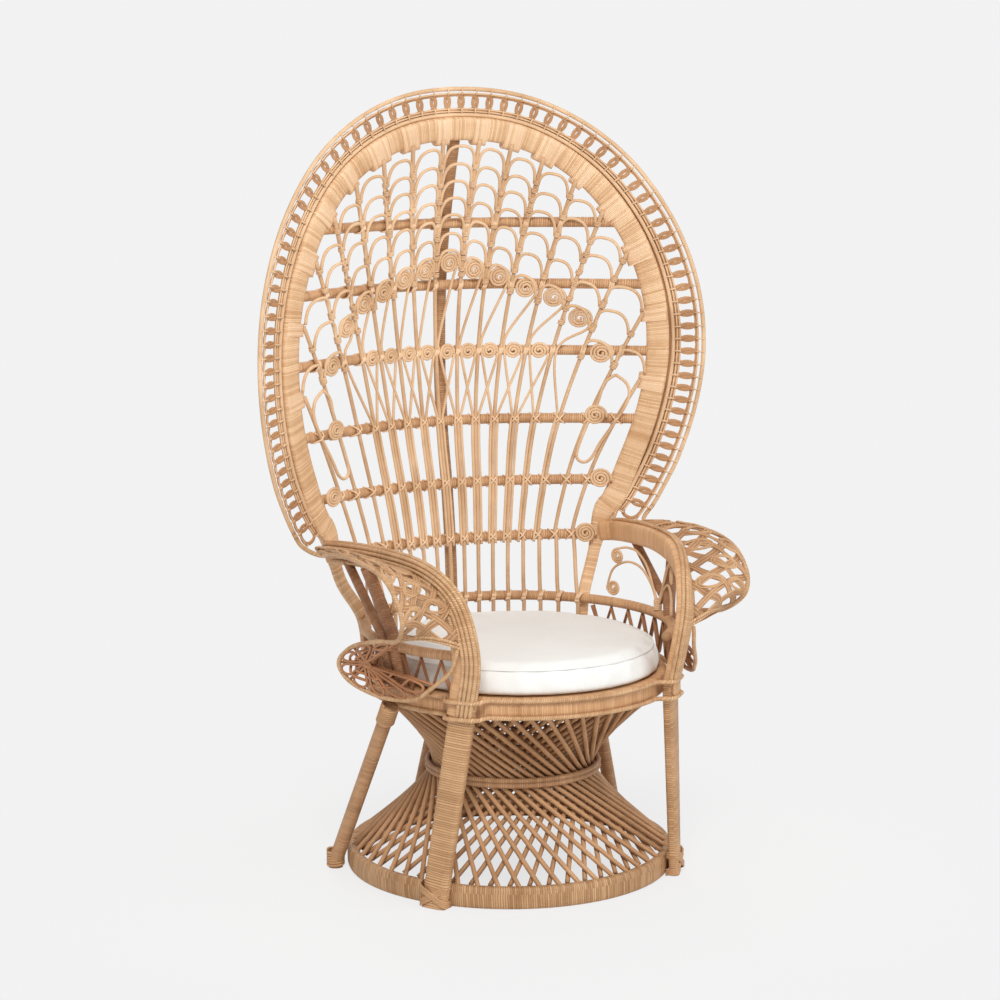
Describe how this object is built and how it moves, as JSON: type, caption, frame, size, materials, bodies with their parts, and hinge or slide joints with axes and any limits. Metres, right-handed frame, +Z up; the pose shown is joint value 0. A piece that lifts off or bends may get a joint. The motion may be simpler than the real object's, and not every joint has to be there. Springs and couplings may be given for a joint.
{
  "type": "peacock chair",
  "caption": "Rattan armchair with an hourglass base of twisted rods, a round seat with a loose cushion, rolled woven arms and a tall dished fan back with a lace border.",
  "frame": {"origin": "on the floor, under the middle of the chair's box", "axes": "+Z up, the sitter faces -Y, +X is at the sitter's left hand"},
  "size_m": [0.9528, 0.6924, 1.5],
  "materials": {
    "rattan_cane": "satin honey cane",
    "wrapped_rattan": "satin peel wrapping",
    "woven_rattan": "satin, a little browner",
    "cushion_cloth": "matte off-white weave"
  },
  "bodies": {
    "frame": {"base_hoop": "wrapped_rattan", "base_rods_outer": "woven_rattan", "base_rods_inner": "woven_rattan", "waist_hoop": "rattan_cane", "seat_hoop": "wrapped_rattan", "seat_hoop_upper_cane": "rattan_cane", "seat_hoop_lower_cane": "rattan_cane", "seat_deck": "woven_rattan", "seat_rail": "wrapped_rattan", "back_spine": "wrapped_rattan", "back_hoop": "wrapped_rattan", "back_hoop_trim": "rattan_cane", "border_lace": "woven_rattan", "border_rim": "rattan_cane", "back_rail_1": "wrapped_rattan", "back_rail_2": "wrapped_rattan", "back_rail_3": "wrapped_rattan", "back_rail_4": "wrapped_rattan", "back_rail_5": "wrapped_rattan", "back_rail_6": "wrapped_rattan", "fan_spoke_left_1": "rattan_cane", "fan_spoke_right_1": "rattan_cane", "fan_spoke_left_2": "rattan_cane", "fan_spoke_right_2": "rattan_cane", "fan_spoke_left_3": "rattan_cane", "fan_spoke_right_3": "rattan_cane", "fan_spoke_left_4": "rattan_cane", "fan_spoke_right_4": "rattan_cane", "fan_spoke_left_5": "rattan_cane", "fan_spoke_right_5": "rattan_cane", "fan_spoke_left_6": "rattan_cane", "fan_spoke_right_6": "rattan_cane", "fan_spoke_left_7": "rattan_cane", "fan_spoke_right_7": "rattan_cane", "fan_spoke_left_8": "rattan_cane", "fan_spoke_right_8": "rattan_cane", "scroll_tails_upper": "rattan_cane", "scroll_tails_lower": "rattan_cane", "scallop_row_1": "rattan_cane", "scallop_row_2": "rattan_cane", "scallop_row_3": "rattan_cane", "scallop_row_4": "rattan_cane", "scallop_row_5": "rattan_cane", "arm_frame_left": "wrapped_rattan", "arm_frame_right": "wrapped_rattan", "arm_roll_edge_left": "rattan_cane", "arm_roll_edge_right": "rattan_cane", "arm_roll_weave_left": "woven_rattan", "arm_roll_weave_right": "woven_rattan", "arm_loop_web_left": "woven_rattan", "arm_loop_web_right": "woven_rattan", "arm_panel_left": "rattan_cane", "arm_panel_right": "rattan_cane", "arm_post_left": "woven_rattan", "arm_post_right": "woven_rattan", "seat_lacing_left": "woven_rattan", "seat_lacing_right": "woven_rattan", "side_leg_left": "wrapped_rattan", "side_leg_right": "wrapped_rattan"},
    "cushion": {"seat_cushion": "cushion_cloth"}
  },
  "joints": [
    {"name": "cushion_lift", "type": "slide", "parent": "frame", "child": "cushion", "axis": [0, 0, 1], "range_m": [0, 0.14]}
  ]
}
